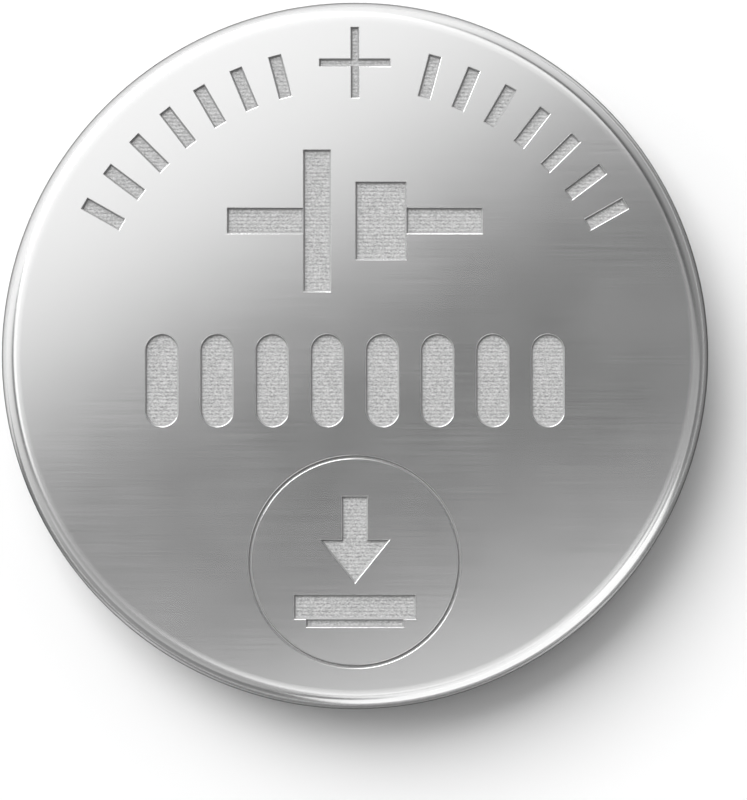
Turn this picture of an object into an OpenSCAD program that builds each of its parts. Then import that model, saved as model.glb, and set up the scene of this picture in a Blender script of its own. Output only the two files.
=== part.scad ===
// Lithium coin cell, lying on its negative contact face with the positive face up.
// Units are millimetres. The origin is the centre of the negative contact face and +Z is the cell's axis.
// Each piece of sheet metal or moulding is drawn as its half section and turned about the axis.

/* [Cell] */
// Diameter over the positive can
cell_d = 24.5; // [23.5:0.1:26]
// Height from the negative contact face to the positive face
cell_h = 3; // [2.8:0.1:4]

/* [Positive can] */
// Sheet thickness of the can
can_t = 0.25; // [0.2:0.01:0.3]
// Outside radius of the bend round the positive face
can_corner_r = 0.6; // [0.4:0.05:0.8]
// Outside radius of the crimped edge
crimp_r = 1.1; // [1:0.05:1.2]
// Angle that the crimped edge turns through
crimp_sweep = 110; // [100:1:115]
// How far the crimped edge stays above the negative contact face
crimp_rise = 0.15; // [0.1:0.01:0.3]

/* [Sealing gasket] */
// Wall of the gasket between the can and the cap
seal_t = 0.3; // [0.2:0.01:0.35]
// Thickness of the gasket's foot against the inside of the can
seal_foot_t = 0.4; // [0.3:0.01:0.5]
// How deep the cap's folded edge presses into the foot
seal_groove = 0.1; // [0.05:0.01:0.15]
// Thickness of the gasket's inner upstand
seal_upstand_t = 0.22; // [0.15:0.01:0.3]
// Height of the inner upstand beyond the groove
seal_upstand_h = 0.5; // [0.2:0.05:0.7]
// Thickness of the gasket's lip between the crimp and the cap
seal_lip_t = 0.2; // [0.15:0.01:0.3]
// Gap between the gasket's lip and the wall of the cap's raised contact
seal_lip_gap = 0.05; // [0.02:0.01:0.1]

/* [Negative cap] */
// Sheet thickness of the cap
cap_t = 0.2; // [0.15:0.01:0.25]
// Gap between the crimped edge and the wall of the cap's raised contact
contact_gap = 0.32; // [0.25:0.01:0.6]
// Outside radius of the bend round the contact face
contact_corner_r = 0.35; // [0.3:0.05:0.4]
// Inside radius of the bend between the contact and the shoulder
shoulder_bend_r = 0.1; // [0.05:0.01:0.14]
// Outside radius of the bend between the shoulder and the skirt
skirt_corner_r = 0.35; // [0.3:0.05:0.4]
// Gap between the two layers of the folded edge
hem_gap = 0.06; // [0.04:0.01:0.1]
// Length of the layer that is folded back
hem_l = 1; // [0.6:0.05:1.1]

/* [Cell stack] */
// Gap between the lithium disc's edge and the wall of the cap's contact
lithium_gap = 0.65; // [0.3:0.05:1.5]
// Gap between the separator's edge and the cap's skirt
separator_gap = 0.44; // [0.3:0.02:0.6]
// Thickness of the separator
separator_t = 0.25; // [0.15:0.01:0.35]
// Gap between the pressed cathode pellet and the gasket's upstand
pellet_gap = 0.92; // [0.5:0.02:1.5]
// Chamfer on the pellet's edges
pellet_chamfer = 0.15; // [0.1:0.01:0.25]
// How far the current collector stops short of the pellet's edge
collector_margin = 0.3; // [0.25:0.05:1]
// Thickness of the current collector
collector_t = 0.15; // [0.1:0.01:0.2]
// Long pitch of the collector's expanded metal
lath_pitch_x = 2.8; // [2.6:0.1:3.2]
// Short pitch of the collector's expanded metal
lath_pitch_y = 1.8; // [1.7:0.1:2.2]
// Width of the collector's strands
lath_strand = 0.3; // [0.2:0.02:0.4]
// Solid rim left round the collector's openings
lath_rim = 0.4; // [0.3:0.05:0.8]

/* [Stamped marks] */
// Depth of the stamped marks on the positive face
mark_depth = 0.12; // [0.04:0.01:0.15]
// Distance from the edge of the flat face to the plus sign
plus_margin = 0.325; // [0.2:0.025:0.6]
// Length of each bar of the plus sign
plus_l = 2.45; // [2:0.05:2.6]
// Width of each bar of the plus sign
plus_w = 0.28; // [0.2:0.02:0.5]
// Distance from the edge of the flat face to the scale marks
scale_margin = 0.95; // [0.8:0.05:1.2]
// Length of each scale mark
scale_l = 1.5; // [1:0.05:1.7]
// Width of each scale mark
scale_w = 0.44; // [0.3:0.02:0.6]
// Number of scale marks on each side of the plus sign
scale_count = 7; // [3:1:7]
// Angle between the plus sign and the first scale mark
scale_start = 15; // [14:0.5:18]
// Angle between neighbouring scale marks
scale_step = 7.6; // [6:0.2:8]
// Distance from the axis to the middle line of the cell symbol
symbol_y = 4.65; // [4.4:0.05:4.8]
// Overall length of the cell symbol
symbol_l = 8.8; // [7:0.1:9.5]
// Width of the symbol's leads
symbol_lead_w = 0.9; // [0.6:0.05:1.1]
// Height of the symbol's long plate
symbol_long_h = 4.9; // [4:0.1:5]
// Width of the symbol's long plate
symbol_long_w = 0.95; // [0.7:0.05:1.1]
// Height of the symbol's short plate
symbol_short_h = 2.7; // [2:0.1:3]
// Width of the symbol's short plate
symbol_short_w = 1.75; // [1.2:0.05:1.9]
// Gap between the symbol's plates
symbol_gap = 0.85; // [0.7:0.05:1]
// Distance from the axis to the middle line of the row of segments
gauge_y = -0.85; // [-1:0.05:-0.7]
// Number of segments in the row
gauge_count = 8; // [2:2:8]
// Spacing of the segments
gauge_pitch = 1.9; // [1.8:0.05:2]
// Width of each segment
gauge_w = 1.15; // [0.9:0.05:1.3]
// Height of each segment
gauge_h = 3.2; // [2.6:0.05:3.3]
// Distance from the edge of the flat face to the ring mark
ring_margin = 0.875; // [0.7:0.025:1]
// Diameter of the ring mark
ring_d = 7.35; // [7:0.05:7.4]
// Width of the ring mark's line
ring_w = 0.12; // [0.08:0.01:0.2]
// Width of the side view of a cell inside the ring
icon_w = 4.2; // [3.4:0.1:4.4]
// Length of the arrow above it
arrow_l = 3; // [2:0.1:3.1]
// Width of the arrow's head
arrow_w = 2.4; // [1.6:0.1:2.8]
// Width of the arrow's shaft
arrow_shaft_w = 0.9; // [0.5:0.05:1.2]
// Gap between the arrow's point and the side view
arrow_gap = 0.4; // [0.3:0.05:0.6]

/* [Hidden] */
$fn = 96;

// The can's section, from the positive face at the top to the crimp at the bottom
can_r = cell_d / 2;
can_in_r = can_r - can_t;
can_floor_z = cell_h - can_t;
can_corner = [can_r - can_corner_r, cell_h - can_corner_r];
crimp = [can_r - crimp_r, crimp_rise + crimp_r];
crimp_in_r = crimp_r - can_t;
crimp_end_r = crimp.x + crimp_r * cos(crimp_sweep);

// The cap's section, from the contact face outwards to the folded edge
contact_r = hundredths(crimp_end_r - contact_gap);
shoulder_z = crimp_rise + can_t + seal_lip_t;
shoulder_bend = [contact_r + shoulder_bend_r, shoulder_z - shoulder_bend_r];
stack_z = shoulder_z + cap_t;
hem_r = can_in_r - seal_t;
skirt_r = hem_r - cap_t - hem_gap;
skirt_corner = [skirt_r - skirt_corner_r, shoulder_z + skirt_corner_r];
hem_bend_r = cap_t + hem_gap / 2;
hem_top_z = can_floor_z - seal_foot_t + seal_groove;
hem_bend_z = hem_top_z - hem_bend_r;
hem_end_z = hem_bend_z - hem_l;

// The gasket follows the can outside and the cap's skirt inside
seal_corner_r = can_corner_r - can_t;
upstand_r = skirt_r - cap_t;
upstand_in_r = upstand_r - seal_upstand_t;
upstand_z = hem_top_z - seal_upstand_h;
lip_r = contact_r + seal_lip_gap;
lip_z = shoulder_z - seal_lip_t;

// The stack between the cap and the can's floor
lithium_r = contact_r - cap_t - lithium_gap;
separator_r = skirt_r - cap_t - separator_gap;
separator_z = stack_z;
pellet_r = upstand_in_r - pellet_gap;
pellet_z = separator_z + separator_t;
collector_r = pellet_r - collector_margin;
collector_z = can_floor_z - collector_t;

// The marks are cut from just above the positive face and placed from the edge of its flat
mark_z = cell_h - mark_depth;
mark_tool_h = 2 * mark_depth;
plus_y = can_corner.x - plus_margin - plus_l / 2;
scale_y = can_corner.x - scale_margin - scale_l / 2;
ring_y = ring_d / 2 + ring_margin - can_corner.x;

function hundredths(v) = round(100 * v) / 100;

function polar(r, a) = [r * cos(a), r * sin(a)];

// Part of a ring of sheet between two angles, for a bend in a section
module bend(r, t, from, to) {
    fan = ceil(abs(to - from) / 60);
    intersection() {
        difference() {
            circle(r);
            circle(r - t);
        }
        polygon(concat([[0, 0]], [for (i = [0 : fan]) polar(2 * r, from + (to - from) * i / fan)]));
    }
}

// A rectangle in a section between two radii and two heights
module slab(r0, r1, z0, z1) {
    translate([r0, z0]) square([r1 - r0, z1 - z0]);
}

module can_section() {
    slab(0, can_corner.x, can_floor_z, cell_h);
    translate(can_corner) bend(can_corner_r, can_t, 0, 90);
    slab(can_in_r, can_r, crimp.y, can_corner.y);
    crimp_section();
}

module crimp_section() {
    translate(crimp) bend(crimp_r, can_t, -crimp_sweep, 0);
}

module cap_section() {
    slab(0, contact_r - contact_corner_r, 0, cap_t);
    translate([contact_r - contact_corner_r, contact_corner_r]) bend(contact_corner_r, cap_t, -90, 0);
    slab(contact_r - cap_t, contact_r, contact_corner_r, shoulder_bend.y);
    shoulder_bend_section();
    slab(shoulder_bend.x, skirt_corner.x, shoulder_z, stack_z);
    translate(skirt_corner) bend(skirt_corner_r, cap_t, -90, 0);
    slab(skirt_r - cap_t, skirt_r, skirt_corner.y, hem_bend_z);
    translate([skirt_r + hem_gap / 2, hem_bend_z]) bend(hem_bend_r, cap_t, 0, 180);
    slab(skirt_r + hem_gap, hem_r, hem_end_z, hem_bend_z);
}

module shoulder_bend_section() {
    translate(shoulder_bend) bend(shoulder_bend_r + cap_t, cap_t, 90, 180);
}

// The space that the cap's shoulder and folded edge press into the gasket
module cap_imprint() {
    shoulder_bend_section();
    slab(lip_r, skirt_corner.x, shoulder_z, hem_bend_z);
    slab(lip_r, skirt_r, skirt_corner.y, hem_bend_z);
    translate(skirt_corner) circle(skirt_corner_r);
    slab(skirt_r - cap_t, hem_r, hem_end_z, hem_bend_z);
    translate([skirt_r + hem_gap / 2, hem_bend_z]) circle(hem_bend_r);
}

module seal_section() {
    difference() {
        union() {
            slab(upstand_in_r, can_in_r - seal_corner_r, can_floor_z - seal_foot_t, can_floor_z);
            slab(can_in_r - seal_corner_r, can_in_r, crimp.y, can_floor_z - seal_corner_r);
            translate([can_in_r - seal_corner_r, can_floor_z - seal_corner_r]) circle(seal_corner_r);
            intersection() {
                translate(crimp) circle(crimp_in_r);
                slab(crimp.x, can_in_r, 0, crimp.y);
            }
            slab(lip_r, crimp.x, lip_z, shoulder_z);
        }
        cap_imprint();
        crimp_section();
    }
    slab(upstand_in_r, upstand_r, upstand_z, can_floor_z - seal_foot_t);
}

module positive_can() {
    color("silver") difference() {
        rotate_extrude() can_section();
        translate([0, 0, mark_z]) stamped_marks();
    }
}

module sealing_gasket() {
    color("gainsboro") rotate_extrude() seal_section();
}

module negative_cap() {
    color("lightgray") rotate_extrude() cap_section();
}

module lithium_anode() {
    color("slategray") translate([0, 0, cap_t]) cylinder(r = lithium_r, h = stack_z - cap_t);
}

module separator() {
    color("white") translate([0, 0, separator_z]) cylinder(r = separator_r, h = separator_t);
}

module cathode_pellet() {
    top_z = collector_z - pellet_z;
    color("dimgray") translate([0, 0, pellet_z]) rotate_extrude() polygon([
        [0, 0],
        [pellet_r - pellet_chamfer, 0],
        [pellet_r, pellet_chamfer],
        [pellet_r, top_z - pellet_chamfer],
        [pellet_r - pellet_chamfer, top_z],
        [0, top_z],
    ]);
}

// Expanded metal: rows of diamond openings, each row set half a pitch along from the last
module current_collector() {
    open_r = collector_r - lath_rim;
    diamond = [lath_pitch_x / 2 - lath_strand, lath_pitch_y / 2 - lath_strand / 2];
    columns = ceil(open_r / lath_pitch_x);
    rows = ceil(2 * open_r / lath_pitch_y);
    color("darkgray") translate([0, 0, collector_z]) difference() {
        cylinder(r = collector_r, h = collector_t);
        for (row = [-rows : rows], column = [-columns : columns]) {
            x = (column + (row % 2 == 0 ? 0 : 0.5)) * lath_pitch_x;
            y = row * lath_pitch_y / 2;
            if (norm([abs(x) + diamond.x, y]) < open_r && norm([x, abs(y) + diamond.y]) < open_r)
                translate([x, y, -collector_t]) linear_extrude(3 * collector_t) lozenge(diamond);
        }
    }
}

module lozenge(half) {
    polygon([[-half.x, 0], [0, -half.y], [half.x, 0], [0, half.y]]);
}

module stamped_marks() {
    translate([0, plus_y, 0]) plus_mark();
    scale_marks();
    translate([0, symbol_y, 0]) cell_symbol();
    translate([0, gauge_y, 0]) gauge_segments();
    translate([0, ring_y, 0]) ring_mark();
}

// A rectangular stamp, centred on x and y
module stamp(w, h) {
    translate([-w / 2, -h / 2, 0]) cube([w, h, mark_tool_h]);
}

module plus_mark() {
    stamp(plus_l, plus_w);
    stamp(plus_w, plus_l);
}

module scale_marks() {
    for (side = [-1, 1], i = [0 : scale_count - 1])
        rotate([0, 0, side * (scale_start + i * scale_step)])
            translate([0, scale_y, 0]) stamp(scale_w, scale_l);
}

// The circuit symbol for one cell: a long thin plate and a short thick one, each with its lead
module cell_symbol() {
    plates_w = symbol_long_w + symbol_gap + symbol_short_w;
    lead_l = (symbol_l - plates_w) / 2;
    long_x = -plates_w / 2 + symbol_long_w / 2;
    short_x = plates_w / 2 - symbol_short_w / 2;
    for (side = [-1, 1])
        translate([side * (symbol_l - lead_l) / 2, 0, 0]) stamp(lead_l, symbol_lead_w);
    translate([long_x, 0, 0]) stamp(symbol_long_w, symbol_long_h);
    translate([short_x, 0, 0]) stamp(symbol_short_w, symbol_short_h);
}

// Upright segments with round ends, as on a level gauge
module gauge_segments() {
    for (i = [0 : gauge_count - 1])
        translate([(i - (gauge_count - 1) / 2) * gauge_pitch, 0, 0]) {
            stamp(gauge_w, gauge_h - gauge_w);
            for (end = [-1, 1])
                translate([0, end * (gauge_h - gauge_w) / 2, 0]) cylinder(d = gauge_w, h = mark_tool_h);
        }
}

// A thin ring round an arrow that points down at the side view of a cell: this face goes up
module ring_mark() {
    icon_h = icon_w / 5;
    icon_contact_w = 0.8 * icon_w;
    icon_contact_h = icon_h / 3;
    icon_top_y = (icon_h + icon_contact_h - arrow_l - arrow_gap) / 2;
    difference() {
        cylinder(d = ring_d, h = mark_tool_h);
        translate([0, 0, -mark_depth]) cylinder(d = ring_d - 2 * ring_w, h = 2 * mark_tool_h);
    }
    translate([0, icon_top_y + arrow_gap, 0]) arrow_mark();
    translate([0, icon_top_y - icon_h / 2, 0]) stamp(icon_w, icon_h);
    translate([0, icon_top_y - icon_h - icon_contact_h / 2, 0]) stamp(icon_contact_w, icon_contact_h);
}

// An arrow with its point at the origin
module arrow_mark() {
    head_l = arrow_l / 2;
    linear_extrude(mark_tool_h) polygon([
        [0, 0],
        [arrow_w / 2, head_l],
        [arrow_shaft_w / 2, head_l],
        [arrow_shaft_w / 2, arrow_l],
        [-arrow_shaft_w / 2, arrow_l],
        [-arrow_shaft_w / 2, head_l],
        [-arrow_w / 2, head_l],
    ]);
}

positive_can();
sealing_gasket();
negative_cap();
lithium_anode();
separator();
cathode_pellet();
current_collector();
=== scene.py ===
# %% [markdown]
# # A lithium coin cell
#
# A coin cell is three thin shells crimped together round a stack of discs. The can is a shallow steel cup
# that lies upside down, so its floor is the positive face. The cap is a smaller steel cup that closes it
# from below, and a plastic ring between the two keeps them apart and seals the cell. This lesson draws
# the two cups from flat discs, the way a press does, strikes the marks into the face, moulds the ring,
# and then gives every surface its finish.

# %% Open the fixed frame
import math

import bmesh
import bpy
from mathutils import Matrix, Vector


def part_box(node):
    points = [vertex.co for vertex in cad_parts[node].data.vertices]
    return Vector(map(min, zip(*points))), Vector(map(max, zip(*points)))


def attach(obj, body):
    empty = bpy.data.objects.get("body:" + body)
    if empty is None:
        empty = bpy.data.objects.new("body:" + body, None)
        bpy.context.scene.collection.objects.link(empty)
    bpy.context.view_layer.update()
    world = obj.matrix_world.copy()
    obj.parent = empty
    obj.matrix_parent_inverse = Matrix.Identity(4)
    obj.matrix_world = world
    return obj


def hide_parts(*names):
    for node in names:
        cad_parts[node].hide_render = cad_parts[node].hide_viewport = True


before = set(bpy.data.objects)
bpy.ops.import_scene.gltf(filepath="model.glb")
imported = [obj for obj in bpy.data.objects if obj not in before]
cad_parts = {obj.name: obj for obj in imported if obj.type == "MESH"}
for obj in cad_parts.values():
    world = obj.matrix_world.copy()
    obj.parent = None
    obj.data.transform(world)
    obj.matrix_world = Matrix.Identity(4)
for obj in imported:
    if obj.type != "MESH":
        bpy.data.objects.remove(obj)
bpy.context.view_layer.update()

# %% [markdown]
# ## Units and sizes
#
# The shared frame is in metres, and the sheet of this cell is a quarter of a millimetre thick. Blender's
# edit tools merge points that lie about a micrometre apart, so each piece is modelled with one unit for a
# millimetre, and `settle` scales it to the frame at the end. The outer sizes are read from the solids, so
# the pieces land exactly where the solids are. The bends and thicknesses are those of the construction.

# %% Sizes of the can, in millimetres
MM = 0.001
can_low, can_high = (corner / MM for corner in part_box("positive_can"))
can_r = can_high.x
face_z = can_high.z
can_t = 0.25
can_bend_r = 0.6
crimp_r = 1.1
crimp_sweep = 110
crimp_centre = (can_r - crimp_r, can_low.z + crimp_r)
can_bend_centre = (can_r - can_bend_r, face_z - can_bend_r)
face_r = can_bend_centre[0]
print(f"Can: {2 * can_r:.2f} mm across, {face_z - can_low.z:.2f} mm high, flat {2 * face_r:.2f} mm across")

# %% Sizes of the cap, in millimetres
cap_low, cap_high = (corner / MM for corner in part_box("negative_cap"))
cap_t = 0.2
hem_r = cap_high.x
hem_gap = 0.06
hem_l = 1
hem_bend_r = cap_t + hem_gap / 2
hem_bend_centre = (hem_r - hem_bend_r, cap_high.z - hem_bend_r)
skirt_in_r = hem_bend_centre[0] - hem_bend_r
contact_r = 10.45
cap_bend_r = 0.35
shoulder_bend_r = 0.1
shoulder_top_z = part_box("lithium_anode")[1].z / MM
shoulder_z = shoulder_top_z - cap_t
print(f"Cap: folded edge {2 * hem_r:.2f} mm across, contact {2 * contact_r:.2f} mm across")

# %% [markdown]
# ## Helpers
#
# An operator acts on everything that is selected, so `pick` leaves one object selected first. A section of
# a round piece is a list of points, each a radius and a height, and `arc` gives the points of a bend.

# %% Select one object
def pick(piece):
    """Leave only this object selected and active."""
    bpy.ops.object.select_all(action="DESELECT")
    piece.select_set(True)
    bpy.context.view_layer.objects.active = piece
    return piece


# %% Points of a bend
BEND_STEP = 7.5


def arc(centre, radius, start, end):
    """Points of a bend after its first one, from start to end in degrees, as (radius, height)."""
    steps = max(2, math.ceil(abs(end - start) / BEND_STEP))
    angles = [math.radians(start + (end - start) * i / steps) for i in range(1, steps + 1)]
    return [(centre[0] + radius * math.cos(a), centre[1] + radius * math.sin(a)) for a in angles]


# %% Apply a modifier
def finished(piece, kind, **settings):
    """Add a modifier with these settings and apply it."""
    pick(piece)
    modifier = piece.modifiers.new(kind.title(), kind)
    for key, value in settings.items():
        setattr(modifier, key, value)
    bpy.ops.object.modifier_apply(modifier=modifier.name)
    return piece


# %% Count open edges
def open_edges(piece):
    """How many edges don't have exactly two faces. A closed shell has none."""
    mesh = bmesh.new()
    mesh.from_mesh(piece.data)
    count = sum(1 for edge in mesh.edges if not edge.is_manifold)
    mesh.free()
    return count


# %% Scale a finished piece to the frame
SMOOTH_ANGLE = math.radians(12)


def settle(piece, node):
    """Bring the piece to metres, smooth its bends, and put it in the place of a solid."""
    pick(piece)
    bpy.ops.object.shade_smooth_by_angle(angle=SMOOTH_ANGLE)
    piece.scale = (MM, MM, MM)
    bpy.ops.object.transform_apply(location=True, rotation=True, scale=True)
    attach(piece, "root")
    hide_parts(node)
    piece.data.calc_loop_triangles()
    size = [round(side / MM, 2) for side in piece.dimensions]
    print(f"{piece.name}: {size} mm, {len(piece.data.loop_triangles)} triangles")


# %% [markdown]
# ## Drawing a disc into a cup
#
# The real shells are blanked from strip and drawn over a punch. Here the blank is a circle with many
# sides, and its edge is extruded ring by ring along the section: each extrusion moves the ring up or
# down, and a resize about the axis sets its radius. Spinning a drawn profile would give the same shape,
# but this way the disc in the middle is one face, with no pole to pinch the reflections. `drawn` follows
# one side of the sheet, and a Solidify modifier then gives the sheet its thickness.

# %% Extrude a ring along a section
ROUND_SIDES = 192
MERGE = 0.0005


def drawn(name, section, blank=True):
    """A round surface, extruded ring by ring from a circle. With blank, the circle is filled."""
    r, z = section[0]
    bpy.ops.object.select_all(action="DESELECT")
    fill = "NGON" if blank else "NOTHING"
    bpy.ops.mesh.primitive_circle_add(vertices=ROUND_SIDES, radius=r, location=(0, 0, z), fill_type=fill)
    piece = bpy.context.object
    piece.name = piece.data.name = name
    bpy.ops.object.transform_apply(location=True, rotation=True, scale=True)
    bpy.ops.object.mode_set(mode="EDIT")
    bpy.ops.mesh.select_mode(type="EDGE")
    bpy.ops.mesh.select_all(action="SELECT")
    for next_r, next_z in section[1:]:
        bpy.ops.mesh.extrude_edges_move(TRANSFORM_OT_translate={"value": (0, 0, next_z - z)})
        scale = next_r / r
        bpy.ops.transform.resize(value=(scale, scale, 1), center_override=(0, 0, next_z))
        r, z = next_r, next_z
    bpy.ops.mesh.select_all(action="SELECT")
    bpy.ops.mesh.remove_doubles(threshold=MERGE)
    bpy.ops.mesh.normals_make_consistent(inside=False)
    bpy.ops.object.mode_set(mode="OBJECT")
    return piece


# %% [markdown]
# ## The can
#
# The section starts a little inside the edge of the flat, so a narrow flat ring lies between the large
# face and the bend. The shading of the bend then can't creep across the face. After the bend come the
# straight wall and the crimp, the edge that is rolled in under the cap's shoulder. The outer side of the
# sheet is drawn, and the thickness goes inwards.

# %% Draw the can
FACE_RING_W = 0.15
can_section = [(face_r - FACE_RING_W, face_z), (face_r, face_z)]
can_section += arc(can_bend_centre, can_bend_r, 90, 0)
can_section += [(can_r, crimp_centre[1])]
can_section += arc(crimp_centre, crimp_r, 0, -crimp_sweep)
can_shell = drawn("can_shell", can_section)
finished(can_shell, "SOLIDIFY", thickness=can_t, offset=-1, use_even_offset=True, use_quality_normals=True)
print("Can drawn:", len(can_shell.data.polygons), "faces")

# %% [markdown]
# ## The die that strikes the marks
#
# The marks on the face are struck into it by a die, so they have flat floors and steep sides. Here the
# die is made first, as one object that holds every mark, and a Boolean modifier then takes it out of the
# can. Each mark starts as a flat outline on the face. `punch` extrudes it upwards, clear of the face, and
# insets its underside downwards, which gives the sides their slight slope.

# %% Turn a flat outline into a punch
MARK_DEPTH = 0.12
MARK_DRAFT = 0.045
PUNCH_H = 0.1


def punch():
    """Give the flat outline that is being edited its height, and taper it down into the face."""
    bpy.ops.mesh.select_mode(type="FACE")
    bpy.ops.mesh.select_all(action="SELECT")
    bpy.ops.mesh.extrude_region_move(TRANSFORM_OT_translate={"value": (0, 0, PUNCH_H)})
    bpy.ops.mesh.select_all(action="SELECT")
    bpy.ops.mesh.normals_make_consistent(inside=False)
    bpy.ops.mesh.select_all(action="DESELECT")
    edit = bmesh.from_edit_mesh(bpy.context.object.data)
    for face in edit.faces:
        face.select = face.normal.z < -0.9
    bmesh.update_edit_mesh(bpy.context.object.data)
    bpy.ops.mesh.inset(thickness=MARK_DRAFT, depth=MARK_DEPTH, use_even_offset=True)
    bpy.ops.object.mode_set(mode="OBJECT")
    return bpy.context.object


# %% Start an outline on the face
def edit_outline(x, y, w, h):
    """A flat rectangle on the face, in the shared frame, left in edit mode."""
    bpy.ops.object.select_all(action="DESELECT")
    bpy.ops.mesh.primitive_plane_add(size=1, location=(x, y, face_z))
    bpy.ops.object.transform_apply(location=True, rotation=True, scale=True)
    bpy.ops.object.mode_set(mode="EDIT")
    bpy.ops.transform.resize(value=(w, h, 1), center_override=(x, y, face_z))


def bar(x, y, w, h):
    """A rectangular punch."""
    edit_outline(x, y, w, h)
    return punch()


# %% Select by place
def select_where(kind, test):
    """In edit mode, select the vertices or edges whose middle passes the test."""
    bpy.ops.mesh.select_mode(type=kind)
    bpy.ops.mesh.select_all(action="DESELECT")
    edit = bmesh.from_edit_mesh(bpy.context.object.data)
    for element in edit.verts if kind == "VERT" else edit.edges:
        points = [element.co] if kind == "VERT" else [v.co for v in element.verts]
        if test(sum(p.x for p in points) / len(points), sum(p.y for p in points) / len(points)):
            element.select = True
    edit.select_flush_mode()
    bmesh.update_edit_mesh(bpy.context.object.data)


# %% [markdown]
# ### The plus sign
#
# A square in the middle, with each of its four edges extruded outwards, is a cross with no overlapping
# faces. Two crossed bars would look the same from above, but would leave faces inside the punch.

# %% Plus sign
PLUS_L = 2.45
PLUS_W = 0.28
PLUS_MARGIN = 0.325
NEAR = 0.001
plus_y = face_r - PLUS_MARGIN - PLUS_L / 2
arm_l = (PLUS_L - PLUS_W) / 2
edit_outline(0, plus_y, PLUS_W, PLUS_W)
for dx, dy in [(1, 0), (0, 1), (-1, 0), (0, -1)]:
    middle = (dx * PLUS_W / 2, plus_y + dy * PLUS_W / 2)
    select_where("EDGE", lambda x, y: math.dist((x, y), middle) < NEAR)
    bpy.ops.mesh.extrude_edges_move(TRANSFORM_OT_translate={"value": (dx * arm_l, dy * arm_l, 0)})
punches = [punch()]
print("Plus sign:", [round(side, 2) for side in punches[0].dimensions], "mm")

# %% [markdown]
# ### The scale on each side of it
#
# One mark is made at the top of the face and copied, and each copy is turned about the cell's axis.

# %% Scale marks
SCALE_L = 1.5
SCALE_W = 0.44
SCALE_MARGIN = 0.95
SCALE_COUNT = 7
SCALE_START = 15
SCALE_STEP = 7.6
tick = bar(0, face_r - SCALE_MARGIN - SCALE_L / 2, SCALE_W, SCALE_L)


def turned_copy(piece, angle):
    """A copy with its own mesh, turned about the cell's axis."""
    copy = piece.copy()
    copy.data = piece.data.copy()
    bpy.context.collection.objects.link(copy)
    pick(copy)
    copy.rotation_euler.z = math.radians(angle)
    bpy.ops.object.transform_apply(location=True, rotation=True, scale=True)
    return copy


for side in (-1, 1):
    for i in range(SCALE_COUNT):
        punches.append(turned_copy(tick, side * (SCALE_START + i * SCALE_STEP)))
bpy.data.objects.remove(tick)
print("Scale marks:", 2 * SCALE_COUNT)

# %% [markdown]
# ### The circuit symbol for a cell
#
# A long thin plate and a short thick one, each with its lead. The four bars are laid out from the middle.

# %% Circuit symbol
SYMBOL_Y = 4.65
SYMBOL_L = 8.8
LEAD_W = 0.9
LONG_W, LONG_H = 0.95, 4.9
SHORT_W, SHORT_H = 1.75, 2.7
PLATE_GAP = 0.85
plates_w = LONG_W + PLATE_GAP + SHORT_W
lead_l = (SYMBOL_L - plates_w) / 2
for side in (-1, 1):
    punches.append(bar(side * (SYMBOL_L - lead_l) / 2, SYMBOL_Y, lead_l, LEAD_W))
punches.append(bar((LONG_W - plates_w) / 2, SYMBOL_Y, LONG_W, LONG_H))
punches.append(bar((plates_w - SHORT_W) / 2, SYMBOL_Y, SHORT_W, SHORT_H))
print("Circuit symbol:", SYMBOL_L, "mm long")

# %% [markdown]
# ### The row of segments
#
# Each segment has round ends. A filled circle is cut in two by selecting the points above its middle and
# moving them up, and the rest down: the two half circles keep their shape and the sides stretch.

# %% Segments
GAUGE_Y = -0.85
GAUGE_COUNT = 8
GAUGE_PITCH = 1.9
GAUGE_W, GAUGE_H = 1.15, 3.2
END_SIDES = 36


def round_outline(x, y, radius, sides=END_SIDES):
    """A filled circle on the face, left in edit mode, with no point level with its middle."""
    bpy.ops.object.select_all(action="DESELECT")
    half_turn = (0, 0, math.pi / sides)
    bpy.ops.mesh.primitive_circle_add(
        vertices=sides, radius=radius, location=(x, y, face_z), rotation=half_turn, fill_type="NGON"
    )
    bpy.ops.object.transform_apply(location=True, rotation=True, scale=True)
    bpy.ops.object.mode_set(mode="EDIT")


for i in range(GAUGE_COUNT):
    round_outline((i - (GAUGE_COUNT - 1) / 2) * GAUGE_PITCH, GAUGE_Y, GAUGE_W / 2)
    for up in (1, -1):
        select_where("VERT", lambda x, y: up * (y - GAUGE_Y) > 0)
        bpy.ops.transform.translate(value=(0, up * (GAUGE_H - GAUGE_W) / 2, 0))
    punches.append(punch())
print("Segments:", GAUGE_COUNT, "of", [round(side, 2) for side in punches[-1].dimensions], "mm")

# %% [markdown]
# ### The ring and what it holds
#
# The ring's line is a filled circle that is inset by the line's width, and the inner face is deleted.
# Inside it an arrow points down at the side view of a cell, which says that this face goes up. The
# arrow's head is a circle with three sides. Two bisects cut its upper edge into three, and the middle
# part is extruded into the shaft.

# %% Ring line
RING_D = 7.35
RING_MARGIN = 0.875
RING_W = 0.12
RING_SIDES = 128
ring_y = RING_D / 2 + RING_MARGIN - face_r
round_outline(0, ring_y, RING_D / 2, RING_SIDES)
bpy.ops.mesh.inset(thickness=RING_W, depth=0)
bpy.ops.mesh.delete(type="FACE")
punches.append(punch())
print("Ring:", [round(side, 2) for side in punches[-1].dimensions], "mm")

# %% Side view of a cell and the arrow over it
ICON_W = 4.2
ARROW_L, ARROW_W, ARROW_SHAFT_W, ARROW_GAP = 3, 2.4, 0.9, 0.4
icon_h = ICON_W / 5
icon_contact_h = icon_h / 3
icon_top_y = ring_y + (icon_h + icon_contact_h - ARROW_L - ARROW_GAP) / 2
punches.append(bar(0, icon_top_y - icon_h / 2, ICON_W, icon_h))
punches.append(bar(0, icon_top_y - icon_h - icon_contact_h / 2, 0.8 * ICON_W, icon_contact_h))

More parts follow.
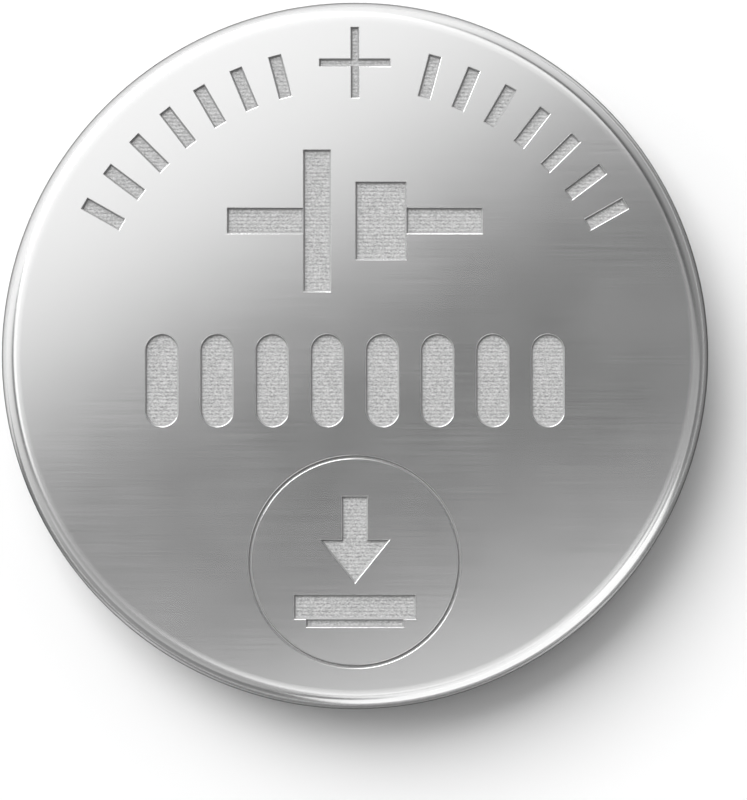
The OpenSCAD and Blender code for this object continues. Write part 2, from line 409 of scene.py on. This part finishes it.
head_l = ARROW_L / 2
head_top_y = icon_top_y + ARROW_GAP + head_l
head_middle = (0, head_top_y - head_l / 3, face_z)
bpy.ops.object.select_all(action="DESELECT")
bpy.ops.mesh.primitive_circle_add(
    vertices=3, radius=1, location=head_middle, rotation=(0, 0, math.pi), fill_type="NGON"
)
bpy.ops.object.transform_apply(location=True, rotation=True, scale=True)
bpy.ops.object.mode_set(mode="EDIT")
bpy.ops.transform.resize(value=(ARROW_W / math.sqrt(3), head_l / 1.5, 1), center_override=head_middle)
for side in (-1, 1):
    bpy.ops.mesh.select_all(action="SELECT")
    bpy.ops.mesh.bisect(plane_co=(side * ARROW_SHAFT_W / 2, 0, 0), plane_no=(1, 0, 0))
select_where("EDGE", lambda x, y: math.dist((x, y), (0, head_top_y)) < NEAR)
bpy.ops.mesh.extrude_edges_move(TRANSFORM_OT_translate={"value": (0, ARROW_L - head_l, 0)})
punches.append(punch())
print("Arrow:", [round(side, 2) for side in punches[-1].dimensions], "mm")

# %% [markdown]
# ### Striking the face
#
# All the punches become one die, and one Boolean takes it out of the can. A real edge is never perfectly
# sharp, so a Bevel modifier with an angle limit rounds every edge of the marks, and the sheared end of
# the crimp, by about a hundredth of a millimetre. That is what catches the light along a mark.

# %% Strike the marks
EDGE_ROUND = 0.012
EDGE_ANGLE = math.radians(30)
bpy.ops.object.select_all(action="DESELECT")
for piece in punches:
    piece.select_set(True)
die = bpy.context.view_layer.objects.active = punches[0]
bpy.ops.object.join()
finished(can_shell, "BOOLEAN", object=die, operation="DIFFERENCE", solver="MANIFOLD")
bpy.data.objects.remove(die)
finished(can_shell, "BEVEL", width=EDGE_ROUND, segments=2, limit_method="ANGLE", angle_limit=EDGE_ANGLE)
print("Can struck:", len(can_shell.data.polygons), "faces,", open_edges(can_shell), "open edges")

# %% [markdown]
# ## The cap
#
# The cap's sheet is followed on its inner side: out along the contact, up its wall, out over the
# shoulder, up the skirt, and then over the fold and down again outside it. The fold is the stiff edge
# that the crimp presses on.

# %% Draw the cap
cap_section = [(contact_r - cap_bend_r - FACE_RING_W, cap_t), (contact_r - cap_bend_r, cap_t)]
cap_section += arc((contact_r - cap_bend_r, cap_bend_r), cap_bend_r - cap_t, -90, 0)
cap_section += [(contact_r - cap_t, shoulder_z - shoulder_bend_r)]
cap_section += arc(
    (contact_r + shoulder_bend_r, shoulder_z - shoulder_bend_r), shoulder_bend_r + cap_t, 180, 90
)
skirt_bend_centre = (skirt_in_r + cap_t - cap_bend_r, shoulder_z + cap_bend_r)
cap_section += [(skirt_bend_centre[0], shoulder_top_z)]
cap_section += arc(skirt_bend_centre, cap_bend_r - cap_t, -90, 0)
cap_section += [(skirt_in_r, hem_bend_centre[1])]
cap_section += arc(hem_bend_centre, hem_bend_r, 180, 0)
cap_section += [(hem_r, hem_bend_centre[1] - hem_l)]
cap_shell = drawn("cap_shell", cap_section)
finished(cap_shell, "SOLIDIFY", thickness=cap_t, offset=-1, use_even_offset=True, use_quality_normals=True)
finished(cap_shell, "BEVEL", width=EDGE_ROUND, segments=2, limit_method="ANGLE", angle_limit=EDGE_ANGLE)
print("Cap drawn:", len(cap_shell.data.polygons), "faces,", open_edges(cap_shell), "open edges")

# %% [markdown]
# ## The gasket
#
# The gasket is moulded, so its section is a closed outline and not a sheet of one thickness. The rings
# follow the can's inside, go down the upstand, over the groove that the folded edge presses, down the
# cap's skirt and along the lip, and the last ring falls on the first and is merged with it.

# %% Mould the gasket
SEAL_UPSTAND_W = 0.22
SEAL_UPSTAND_H = 0.5
LIP_GAP = 0.05
can_floor_z = face_z - can_t
can_in_r = can_r - can_t
seal_corner_r = can_bend_r - can_t
lip_r = contact_r + LIP_GAP
lip_z = can_low.z + can_t
crimp_in_r = crimp_r - can_t
crimp_turn = math.radians(crimp_sweep)
crimp_end = [
    (crimp_centre[0] + r * math.cos(crimp_turn), crimp_centre[1] - r * math.sin(crimp_turn))
    for r in (crimp_r, crimp_in_r)
]
end_share = (lip_z - crimp_end[0][1]) / (crimp_end[1][1] - crimp_end[0][1])
end_meet_r = crimp_end[0][0] + end_share * (crimp_end[1][0] - crimp_end[0][0])
lip_angle = math.degrees(math.acos(1 - LIP_GAP / shoulder_bend_r))
seal_section = [(lip_r, lip_z), (end_meet_r, lip_z), crimp_end[1]]
seal_section += arc(crimp_centre, crimp_in_r, -crimp_sweep, 0)
seal_section += [(can_in_r, can_floor_z - seal_corner_r)]
seal_section += arc((can_in_r - seal_corner_r, can_floor_z - seal_corner_r), seal_corner_r, 0, 90)
seal_section += [(skirt_in_r - SEAL_UPSTAND_W, can_floor_z)]
seal_section += [(skirt_in_r - SEAL_UPSTAND_W, cap_high.z - SEAL_UPSTAND_H)]
seal_section += [(skirt_in_r, cap_high.z - SEAL_UPSTAND_H), (skirt_in_r, hem_bend_centre[1])]
seal_section += arc(hem_bend_centre, hem_bend_r, 180, 0)
seal_section += [(hem_r, hem_bend_centre[1] - hem_l), (skirt_in_r + cap_t, hem_bend_centre[1] - hem_l)]
seal_section += [(skirt_in_r + cap_t, skirt_bend_centre[1])]
seal_section += arc(skirt_bend_centre, cap_bend_r, 0, -90)
seal_section += [(contact_r + shoulder_bend_r, shoulder_z)]
shoulder_bend_centre = (contact_r + shoulder_bend_r, shoulder_z - shoulder_bend_r)
seal_section += arc(shoulder_bend_centre, shoulder_bend_r, 90, 180 - lip_angle)
seal_section += [seal_section[0]]
seal_ring = drawn("seal_ring", seal_section, blank=False)
finished(seal_ring, "BEVEL", width=EDGE_ROUND, segments=2, limit_method="ANGLE", angle_limit=EDGE_ANGLE)
print("Gasket moulded:", len(seal_ring.data.polygons), "faces,", open_edges(seal_ring), "open edges")

# %% [markdown]
# ## The separator
#
# The separator is a soft non-woven disc that lies on the lithium and on the cap's shoulder. It is the one
# sheet of cloth here. A filled circle gets the cloth's thickness, and its cut edge is rounded.

# %% Cut the separator
sep_low, sep_high = (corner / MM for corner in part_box("separator"))
SEP_EDGE_ROUND = 0.08
separator_disc = drawn("separator_disc", [(sep_high.x - 1, sep_high.z), (sep_high.x, sep_high.z)])
finished(separator_disc, "SOLIDIFY", thickness=sep_high.z - sep_low.z, offset=-1)
finished(
    separator_disc, "BEVEL", width=SEP_EDGE_ROUND, segments=3, limit_method="ANGLE", angle_limit=EDGE_ANGLE
)
print("Separator cut:", round(2 * sep_high.x, 2), "mm across")

# %% [markdown]
# ## From millimetres to the frame
#
# The four modelled pieces are scaled to metres, and each takes the place of its solid. They all ride on
# the part's one body, because nothing in a cell moves. The separator lies flat on the lithium and on the
# cap's shoulder.

# %% Bring the pieces into the frame
settle(can_shell, "positive_can")
settle(cap_shell, "negative_cap")
settle(seal_ring, "sealing_gasket")
settle(separator_disc, "separator")

# %% [markdown]
# ## The finishes
#
# Every finish is made of shader nodes that read Object coordinates, which are the frame's own metres, so
# a scale of 1000 gives one repeat for each millimetre. A few short functions add the nodes. Painting an
# image would also work, but the nodes stay sharp at any distance and need no unwrapping.

# %% Start a material
def material(name):
    """A material with its Principled shader and Object coordinates."""
    made = bpy.data.materials.new(name)
    made.use_nodes = True
    shader = made.node_tree.nodes["Principled BSDF"]
    coordinates = made.node_tree.nodes.new("ShaderNodeTexCoord").outputs["Object"]
    return made, shader, coordinates


# %% Add and join nodes
def add(made, kind, links=(), **settings):
    """Add a node. Settings are its properties or, for an input's name, its value; links join inputs."""
    node = made.node_tree.nodes.new("ShaderNode" + kind)
    for key, value in settings.items():
        if hasattr(node, key):
            setattr(node, key, value)
        else:
            node.inputs[key.replace("_", " ")].default_value = value
    for socket, source in dict(links).items():
        made.node_tree.links.new(source, node.inputs[socket])
    return node


def plug(made, value, shader, socket):
    """Join a node's output to one of the shader's inputs."""
    made.node_tree.links.new(value, shader.inputs[socket])


# %% A noise pattern
def noise(made, coordinates, scale, stretch=(1, 1, 1), detail=4, roughness=0.6):
    """A noise pattern; scale is its features to the millimetre and stretch lengthens them along an axis."""
    mapping = add(made, "Mapping", {"Vector": coordinates})
    mapping.inputs["Scale"].default_value = tuple(scale / (MM * s) for s in stretch)
    texture = add(made, "TexNoise", {"Vector": mapping.outputs["Vector"]}, Scale=1.0, Detail=detail)
    texture.inputs["Roughness"].default_value = roughness
    return texture.outputs["Fac"]


# %% Spread a value, and mix two
def ranged(made, value, low, high, from_low=0.3, from_high=0.7):
    """The value's middle stretch, spread from low to high."""
    node = add(made, "MapRange", {"Value": value})
    for name, number in zip(("From Min", "From Max", "To Min", "To Max"), (from_low, from_high, low, high)):
        node.inputs[name].default_value = number
    return node.outputs["Result"]


def combined(made, first, second, operation="ADD"):
    """Two values added, or put together by another operation."""
    return add(made, "Math", {0: first, 1: second}, operation=operation).outputs[0]


def blend(made, share, first, second, colour=False):
    """Mix from the first to the second by the share. Each is a plain value or the output of a node."""
    node = add(made, "Mix", {0: share}, data_type="RGBA" if colour else "FLOAT")
    for socket, value in zip((6, 7) if colour else (2, 3), (first, second)):
        if isinstance(value, bpy.types.NodeSocket):
            made.node_tree.links.new(value, node.inputs[socket])
        elif colour:
            node.inputs[socket].default_value = (*value, 1)
        else:
            node.inputs[socket].default_value = value
    return node.outputs[2 if colour else 0]


def grey(level):
    """A neutral colour of this level."""
    return (level, level, level)


# %% Raise the surface
def bumped(made, shader, height, distance):
    """Raise the surface by the height, which is from 0 to 1, times the distance in metres."""
    node = add(made, "Bump", {"Height": height}, Distance=distance, Strength=1.0)
    plug(made, node.outputs["Normal"], shader, "Normal")


# %% [markdown]
# ### Rolled steel
#
# The can and the cap are stainless steel, rolled as strip before they were drawn, and the can is plated
# with nickel. The rolling leaves faint straight lines, all one way. They are noise that is stretched
# along one axis. The same pattern shades the colour a little, changes how rough the steel is, and lifts
# it by a micrometre at most.

# %% Rolling lines
LINE_FINENESS = 14
CLOUD_FINENESS = 0.2
LINE_SHADE = 0.97


def rolling(made, coordinates, tint, rough, stretch):
    """Faint rolling lines, as a colour, a roughness and a height."""
    lines = noise(made, coordinates, LINE_FINENESS, stretch=stretch)
    cloud = noise(made, coordinates, CLOUD_FINENESS, detail=2)
    share = ranged(made, combined(made, lines, cloud), 0, 1, from_low=0.7, from_high=1.3)
    colour = blend(made, share, [LINE_SHADE * c for c in tint], tint, colour=True)
    return colour, blend(made, share, *rough), lines


def rolled_steel(name, tint, rough, stretch, line_height):
    """Satin steel with the same finish all over."""
    made, shader, coordinates = material(name)
    shader.inputs["Metallic"].default_value = 1
    colour, roughness, lines = rolling(made, coordinates, tint, rough, stretch)
    plug(made, colour, shader, "Base Color")
    plug(made, roughness, shader, "Roughness")
    bumped(made, shader, lines, line_height)
    return made


# %% [markdown]
# ### The can's steel
#
# The positive face keeps the strip's bright satin. The side wall slid through the drawing die, which
# leaves it duller, with fine lines up the wall in place of the rolling lines. Its colour is painted darker
# and its edge tint almost black, as painted shade that darkens what it mirrors along the outline. Both
# finishes are in one material, because they run into each other over the bend: the height above the floor,
# read from the Object coordinates, blends one into the other. Two materials would meet in a hard line.

# %% Can steel
FACE_TINT = grey(0.72)
FACE_ROUGHNESS = (0.17, 0.2)
FACE_LINES = (80, 1, 1)
# The wall's darker colour and its almost black edge tint are painted shade: they darken what the wall mirrors
# along the outline.
WALL_PAINTED_SHADE = grey(0.36)
WALL_EDGE_PAINTED_SHADE = grey(0.02)
WALL_ROUGHNESS = 0.42
WALL_TOP_Z = 2.8 * MM
WALL_FADE = 0.2 * MM
WALL_LINE_FINENESS = 16
WALL_LINES = (1, 1, 25)
CAN_LINE_HEIGHT = 0.1e-6

can_steel, shader, coordinates = material("can_steel_satin")
shader.inputs["Metallic"].default_value = 1
colour, roughness, lines = rolling(can_steel, coordinates, FACE_TINT, FACE_ROUGHNESS, FACE_LINES)
height = add(can_steel, "SeparateXYZ", {0: coordinates}).outputs["Z"]
on_face = ranged(can_steel, height, 0, 1, WALL_TOP_Z - WALL_FADE, WALL_TOP_Z)
wall_lines = noise(can_steel, coordinates, WALL_LINE_FINENESS, stretch=WALL_LINES, detail=3)
print("The wall's finish ends", round(WALL_TOP_Z / MM, 2), "mm above the floor")

# %% Join the face and the wall
# Below the bend the colour and the edge tint blend into the wall's painted shade.
edge_tint_painted_shade = blend(can_steel, on_face, WALL_EDGE_PAINTED_SHADE, grey(1), colour=True)
plug(can_steel, blend(can_steel, on_face, WALL_PAINTED_SHADE, colour, colour=True), shader, "Base Color")
plug(can_steel, edge_tint_painted_shade, shader, "Specular Tint")
plug(can_steel, blend(can_steel, on_face, WALL_ROUGHNESS, roughness), shader, "Roughness")
bumped(can_steel, shader, blend(can_steel, on_face, wall_lines, lines), CAN_LINE_HEIGHT)
print("Can steel:", len(can_steel.node_tree.nodes), "nodes")

# %% [markdown]
# ### The floors of the marks
#
# A struck floor keeps the texture of the die: fine rows, broken by grains, and quite matt. It looks much
# the same grey wherever it lies, where a polished floor would mirror the dark and the light parts of the
# studio. So it is hardly metallic here. A Wave texture makes the rows and a fine noise makes the grains.
# `WAVE_TURN` is the Wave texture's own scale, which repeats twenty times in one turn of a circle.

# %% Mark floors
ROW_PITCH = 0.126
WAVE_TURN = 2 * math.pi / 20
ROW_STRENGTH = 0.35
GRAIN = 0.05
GRAIN_STRETCH = (1.3, 0.9, 1)
MARK_DARK = grey(0.24)
MARK_LIGHT = grey(0.64)
FLOOR_TEXTURE_HEIGHT = 4e-6

mark_steel, shader, coordinates = material("mark_floor")
shader.inputs["Metallic"].default_value = 0.15
shader.inputs["Specular IOR Level"].default_value = 0.3
in_mm = add(mark_steel, "VectorMath", {0: coordinates}, operation="SCALE", Scale=1 / MM).outputs[0]
wave = add(
    mark_steel, "TexWave", {"Vector": in_mm}, bands_direction="Y", Scale=WAVE_TURN / ROW_PITCH, Distortion=0.0
)
rows = ranged(mark_steel, wave.outputs["Fac"], 0, ROW_STRENGTH, from_low=0, from_high=1)
grains = ranged(mark_steel, noise(mark_steel, coordinates, 1 / GRAIN, stretch=GRAIN_STRETCH, detail=3), 0, 1)
texture = combined(mark_steel, rows, grains)
shade = ranged(mark_steel, texture, 0, 1, from_low=0.1, from_high=1.2)
tone = blend(mark_steel, shade, MARK_DARK, MARK_LIGHT, colour=True)
plug(mark_steel, tone, shader, "Base Color")
plug(mark_steel, ranged(mark_steel, grains, low=0.5, high=0.6, from_low=0, from_high=1), shader, "Roughness")
bumped(mark_steel, shader, texture, FLOOR_TEXTURE_HEIGHT)
print("Mark floors: rows", ROW_PITCH, "mm apart, grains of", GRAIN, "mm")

# %% [markdown]
# ### The sides of the marks
#
# The sides are duller than the face, so they scatter the light. Their colour is also darker than the
# face's, as painted shade that deepens the marks. The sides that face the lamp are light and those that
# face away are dark, which is what makes the marks look sunk.

# %% Mark sides
# The sides' dark grey is partly painted shade in the marks, with a random tone from the noise.
SIDE_PAINTED_SHADE_DARK = grey(0.34)
SIDE_PAINTED_SHADE_LIGHT = grey(0.46)
TEAR_FINENESS = 20

side_steel, shader, coordinates = material("mark_side")
shader.inputs["Specular IOR Level"].default_value = 0.1
tears = ranged(side_steel, noise(side_steel, coordinates, TEAR_FINENESS, detail=2), 0, 1)
plug(side_steel, blend(side_steel, tears, SIDE_PAINTED_SHADE_DARK, SIDE_PAINTED_SHADE_LIGHT, colour=True), shader, "Base Color")
plug(side_steel, blend(side_steel, tears, 0.7, 0.8), shader, "Roughness")
print("Mark sides:", len(side_steel.node_tree.nodes), "nodes")

# %% [markdown]
# ### Three finishes on one piece
#
# Each face of the can gets its finish by its place: a face level with the marks' depth is a floor, and a
# face between that level and the top of the marks is a side. The rounded top edge of a mark stays bright.

# %% Give the can its finishes
can_shell.data.materials.clear()
for finish in (can_steel, mark_steel, side_steel):
    can_shell.data.materials.append(finish)
LEVEL_MARGIN = 0.002 * MM
floor_z = (face_z - MARK_DEPTH) * MM
side_top_z = (face_z - EDGE_ROUND) * MM
for polygon in can_shell.data.polygons:
    middle = polygon.center
    inside_flat = math.hypot(middle.x, middle.y) < face_r * MM
    in_marks = inside_flat and floor_z - LEVEL_MARGIN < middle.z < side_top_z
    on_floor = middle.z < floor_z + LEVEL_MARGIN and polygon.normal.z > 0.99
    polygon.material_index = (1 if on_floor else 2) if in_marks else 0
counts = [sum(polygon.material_index == i for polygon in can_shell.data.polygons) for i in range(3)]
print("Faces of steel, floors and sides:", counts)

# %% [markdown]
# ### The cap's steel
#
# The cap is drawn from a thinner strip than the can. It isn't plated, so it is a little darker and
# rougher.

# %% Cap steel
cap_steel = rolled_steel(
    "cap_steel_satin", tint=(0.6, 0.6, 0.59), rough=(0.26, 0.33), stretch=(60, 1, 1), line_height=0.5e-6
)
cap_shell.data.materials.append(cap_steel)
print("Cap steel:", len(cap_steel.node_tree.nodes), "nodes")

# %% [markdown]
# ### The gasket's plastic
#
# Natural polypropylene is milky: light goes in a little way and comes out again. Subsurface scattering
# gives that. The shader multiplies the radius by its own scale, which is 0.05, so a radius of 0.4 mm
# lets the light in by 0.02 mm. A faint noise gives the moulded skin.

# %% Gasket plastic
SCATTER_RADIUS = 0.4 * MM
plastic, shader, coordinates = material("gasket_polypropylene")
shader.inputs["Base Color"].default_value = (0.82, 0.83, 0.8, 1)
shader.inputs["Subsurface Weight"].default_value = 0.4
shader.inputs["Subsurface Radius"].default_value = (SCATTER_RADIUS, SCATTER_RADIUS, SCATTER_RADIUS)
plug(plastic, ranged(plastic, noise(plastic, coordinates, scale=6), low=0.35, high=0.5), shader, "Roughness")
bumped(plastic, shader, noise(plastic, coordinates, scale=10), distance=2e-6)
seal_ring.data.materials.append(plastic)
print("Gasket plastic:", len(plastic.node_tree.nodes), "nodes")

# %% [markdown]
# ### The separator's fibres
#
# A non-woven cloth is a mat of fibres that lie every way. Two noises, each stretched along its own axis,
# cross each other, and the higher of the two at each point is the fibre on top.

# %% Separator fibres
FIBRE_FINENESS = 9
fibres, shader, coordinates = material("separator_fibres")
along_x = noise(fibres, coordinates, FIBRE_FINENESS, stretch=(6, 1, 1), detail=2)
along_y = noise(fibres, coordinates, FIBRE_FINENESS, stretch=(1, 6, 1), detail=2)
web = combined(fibres, along_x, along_y, "MAXIMUM")
fibre_tone = blend(fibres, ranged(fibres, web, 0, 1), (0.72, 0.72, 0.7), (0.93, 0.93, 0.91), colour=True)
plug(fibres, fibre_tone, shader, "Base Color")
shader.inputs["Roughness"].default_value = 0.9
bumped(fibres, shader, web, distance=20e-6)
separator_disc.data.materials.append(fibres)
print("Separator fibres:", len(fibres.node_tree.nodes), "nodes")

# %% [markdown]
# ### The stack inside
#
# The lithium is rolled foil with a patchy grey tarnish. The cathode is a pressed black powder, matt and
# gritty. The collector is expanded steel, and its solid already has the diamond openings. These three
# don't show from outside, so the solids themselves are kept and only get their finishes.

# %% Lithium
lithium, shader, coordinates = material("lithium_foil")
shader.inputs["Metallic"].default_value = 1
foil_lines = noise(lithium, coordinates, scale=6, stretch=(1, 20, 1), detail=3)
tarnish = noise(lithium, coordinates, scale=0.5)
patches = ranged(lithium, tarnish, 0, 1)
lithium_tone = blend(lithium, patches, (0.38, 0.38, 0.4), (0.6, 0.6, 0.61), colour=True)
plug(lithium, lithium_tone, shader, "Base Color")
plug(lithium, ranged(lithium, tarnish, low=0.4, high=0.6), shader, "Roughness")
bumped(lithium, shader, foil_lines, distance=3e-6)
print("Lithium:", len(lithium.node_tree.nodes), "nodes")

# %% Pressed powder
powder, shader, coordinates = material("pressed_powder")
grit = noise(powder, coordinates, scale=14, detail=5)
powder_tone = blend(powder, ranged(powder, grit, 0, 1), (0.02, 0.02, 0.022), (0.06, 0.06, 0.065), colour=True)
plug(powder, powder_tone, shader, "Base Color")
plug(powder, ranged(powder, grit, low=0.6, high=0.85), shader, "Roughness")
bumped(powder, shader, grit, distance=10e-6)
print("Pressed powder:", len(powder.node_tree.nodes), "nodes")

# %% Finish the solids that are kept
mesh_steel = rolled_steel(
    "collector_steel_satin", tint=grey(0.5), rough=(0.3, 0.4), stretch=(1, 20, 1), line_height=1e-6
)
kept_solids = {"lithium_anode": lithium, "cathode_pellet": powder, "current_collector": mesh_steel}
for node, finish in kept_solids.items():
    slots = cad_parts[node].data.materials
    slots.clear()
    slots.append(finish)
print("Solids with a finish:", sorted(kept_solids))

# %% [markdown]
# ## The studio
#
# Polished metal looks like what it reflects, so the lamps are laid out for the reflections. The face
# looks straight up. A large softbox hangs to its upper left, a small card hangs to its lower right, and
# the dim gap between them is the dark band across the face. The floor is plain pale paper.

# %% Floor
FLOOR_SIZE = 6
FLOOR_GAP = 0.01 * MM
PAPER_TONE = 0.95
bpy.ops.object.select_all(action="DESELECT")
bpy.ops.mesh.primitive_plane_add(size=FLOOR_SIZE, location=(0, 0, -FLOOR_GAP))
floor = bpy.context.object
floor.name = "floor"
paper, shader, coordinates = material("floor_paper")
shader.inputs["Base Color"].default_value = (*grey(PAPER_TONE), 1)
shader.inputs["Roughness"].default_value = 1
shader.inputs["Specular IOR Level"].default_value = 0
floor.data.materials.append(paper)
print("Floor:", FLOOR_SIZE, "m wide")

# %% [markdown]
# ### The lamps
#
# Each lamp is a flat rectangle that faces the cell from two metres away. Its azimuth is counted from +X
# and its zenith from straight up, in degrees. `across` and `along` are its width and its length down the
# sky. Its strength is given as the brightness of its surface, so that 1 shows as white in a mirror.

# %% Softbox
LAMP_DISTANCE = 2


def softbox(name, azimuth, zenith, across, along, brightness):
    """A rectangular lamp that faces the cell."""
    bpy.ops.object.select_all(action="DESELECT")
    a, z = math.radians(azimuth), math.radians(zenith)
    towards = (math.sin(z) * math.cos(a), math.sin(z) * math.sin(a), math.cos(z))
    place = [LAMP_DISTANCE * c for c in towards]
    bpy.ops.object.light_add(type="AREA", location=place, rotation=(0, z, a))
    lamp = bpy.context.object
    lamp.name = name
    lamp.data.shape = "RECTANGLE"
    lamp.data.size = along
    lamp.data.size_y = across
    lamp.data.energy = brightness * math.pi * across * along
    lamp.visible_camera = False
    return lamp


# %% [markdown]
# The softbox overhead gives the bright upper left of the face. The key lamp hangs lower and is brighter,
# so it casts the soft shadow at the lower right. The five cards only show in the metal: one near the top of
# the sky lights the face, two below it draw the bright line round the bend, and a dim one on each side
# carries the grey of the face on over the bend.

# %% Lamps and cards
softbox("overhead_softbox", azimuth=119, zenith=22.25, across=1.9, along=1.28, brightness=1.25)
softbox("key_lamp", azimuth=125, zenith=45, across=1.4, along=1.4, brightness=5.4)
cards = [
    softbox("fill_card", azimuth=286, zenith=14, across=0.7, along=0.52, brightness=1.0),
    softbox("rim_card_high", azimuth=300, zenith=34, across=1.3, along=0.78, brightness=1.15),
    softbox("rim_card_low", azimuth=300, zenith=62, across=2.6, along=1.3, brightness=1.18),
    softbox("rim_card_left", azimuth=230, zenith=32.5, across=1.4, along=1.66, brightness=0.36),
    softbox("rim_card_right", azimuth=342, zenith=32.5, across=1.1, along=1.66, brightness=0.35),
]
for card in cards:
    card.visible_diffuse = False

# %% [markdown]
# ### Flags on the floor
#
# The lowest part of the bend mirrors the floor. Grey cards, which a photographer calls flags, lie on the
# floor just outside the picture at three of its sides. Only the metal shows them: they are a painted
# reflection of shade, which draws the grey line outside the bright one.

# %% Flags
PICTURE_RIGHT = 13.8 * MM
PICTURE_BOTTOM = -15.6 * MM
PICTURE_LEFT = -12.9 * MM
LEFT_FLAG_TOP = -5 * MM
FLAG_REACH = 80 * MM
# The flags' grey is a painted reflection of shade, which only the metal shows.
FLAG_PAINTED_SHADE_TONE = 0.25
painted_shade_flag_paper, shader, coordinates = material("painted_shade_flag_paper")
shader.inputs["Base Color"].default_value = (*grey(FLAG_PAINTED_SHADE_TONE), 1)
shader.inputs["Roughness"].default_value = 1


def flag(name, left, bottom, right, top):
    """A grey sheet on the floor that only reflections show: a painted reflection of shade."""
    bpy.ops.object.select_all(action="DESELECT")
    bpy.ops.mesh.primitive_plane_add(size=1, location=((left + right) / 2, (bottom + top) / 2, 0))
    sheet = bpy.context.object
    sheet.name = name
    sheet.scale = (right - left, top - bottom, 1)
    bpy.ops.object.transform_apply(location=True, rotation=True, scale=True)
    sheet.data.materials.append(painted_shade_flag_paper)
    sheet.visible_camera = False
    sheet.visible_diffuse = False
    sheet.visible_shadow = False
    return sheet


flag("flag_below", -FLAG_REACH / 2, -FLAG_REACH, FLAG_REACH, PICTURE_BOTTOM)
flag("flag_beside", PICTURE_RIGHT, PICTURE_BOTTOM, FLAG_REACH, FLAG_REACH / 3)
flag("flag_left", -FLAG_REACH, PICTURE_BOTTOM, PICTURE_LEFT, LEFT_FLAG_TOP)
print("Flags reach", round(FLAG_REACH / MM), "mm from the cell")

# %% [markdown]
# ### The sky
#
# The room round the lamps is dim overhead. It is lighter near the horizon, and lightest on the lamps'
# side, where the backdrop catches their light. `up` is how high a direction points and `to_lamps` how
# far it points towards the lamps' side, both from -1 to 1.

# %% Sky
SKY_AXIS = math.radians(124)
SKY_TOP = 0.1
SKY_FAR = 0.22
SKY_LOW = 0.42
SKY_LIT = 1.25
sky = bpy.data.worlds.new("studio")
bpy.context.scene.world = sky
sky.use_nodes = True
direction = sky.node_tree.nodes.new("ShaderNodeTexCoord").outputs["Generated"]
up = add(sky, "SeparateXYZ", {0: direction}).outputs["Z"]
facing = add(sky, "VectorMath", {0: direction}, operation="DOT_PRODUCT")
facing.inputs[1].default_value = (math.cos(SKY_AXIS), math.sin(SKY_AXIS), 0)
to_lamps = facing.outputs["Value"]
print("The sky is lightest at", round(math.degrees(SKY_AXIS)), "degrees")

# %% Shade the sky
beyond = blend(sky, ranged(sky, up, 0, 1, from_low=0.1, from_high=0.35), SKY_LOW, SKY_FAR)
beside = blend(sky, ranged(sky, to_lamps, 0, 1, from_low=-0.6, from_high=0), beyond, SKY_LOW)
dim = blend(sky, ranged(sky, up, 0, 1, from_low=0.5, from_high=0.85), beside, SKY_TOP)
lit_side = ranged(sky, to_lamps, 0, 1, from_low=0, from_high=0.6)
below_top = ranged(sky, up, 1, 0, from_low=0.69, from_high=0.79)
backdrop = combined(sky, lit_side, below_top, "MULTIPLY")
light = sky.node_tree.nodes["Background"]
plug(sky, blend(sky, backdrop, dim, SKY_LIT), light, "Strength")
light.inputs["Color"].default_value = (1, 1, 1, 1)
print("Sky:", len(sky.node_tree.nodes), "nodes")

# %% [markdown]
# ## The camera
#
# It looks straight down, from a little to the right of the cell's axis and below it, so that the cell
# sits left of the middle with room for its shadow. It is near enough to see the edges of the face from
# slightly inside, which spreads the reflections over it.

# %% Camera
CELL_R = 12.25
CELL_R_PIXELS = 353
PIXEL = CELL_R / CELL_R_PIXELS * MM
FRAME_W, FRAME_H = 747, 800
DISC_X, DISC_Y = 355, 356
SENSOR = 36
RIM_Z = 2.4 * MM
CAMERA_RISE = 80 * MM
camera_x = (FRAME_W / 2 - DISC_X) * PIXEL
camera_y = -(FRAME_H / 2 - DISC_Y) * PIXEL
bpy.ops.object.camera_add(location=(camera_x, camera_y, RIM_Z + CAMERA_RISE), rotation=(0, 0, 0))
camera = bpy.context.object
camera.data.sensor_width = SENSOR
camera.data.lens = SENSOR * CAMERA_RISE / (FRAME_H * PIXEL)
camera.data.clip_start = 0.001
bpy.context.scene.camera = camera
bpy.context.scene.view_settings.view_transform = "Standard"
print("Camera:", round(camera.data.lens, 1), "mm lens")
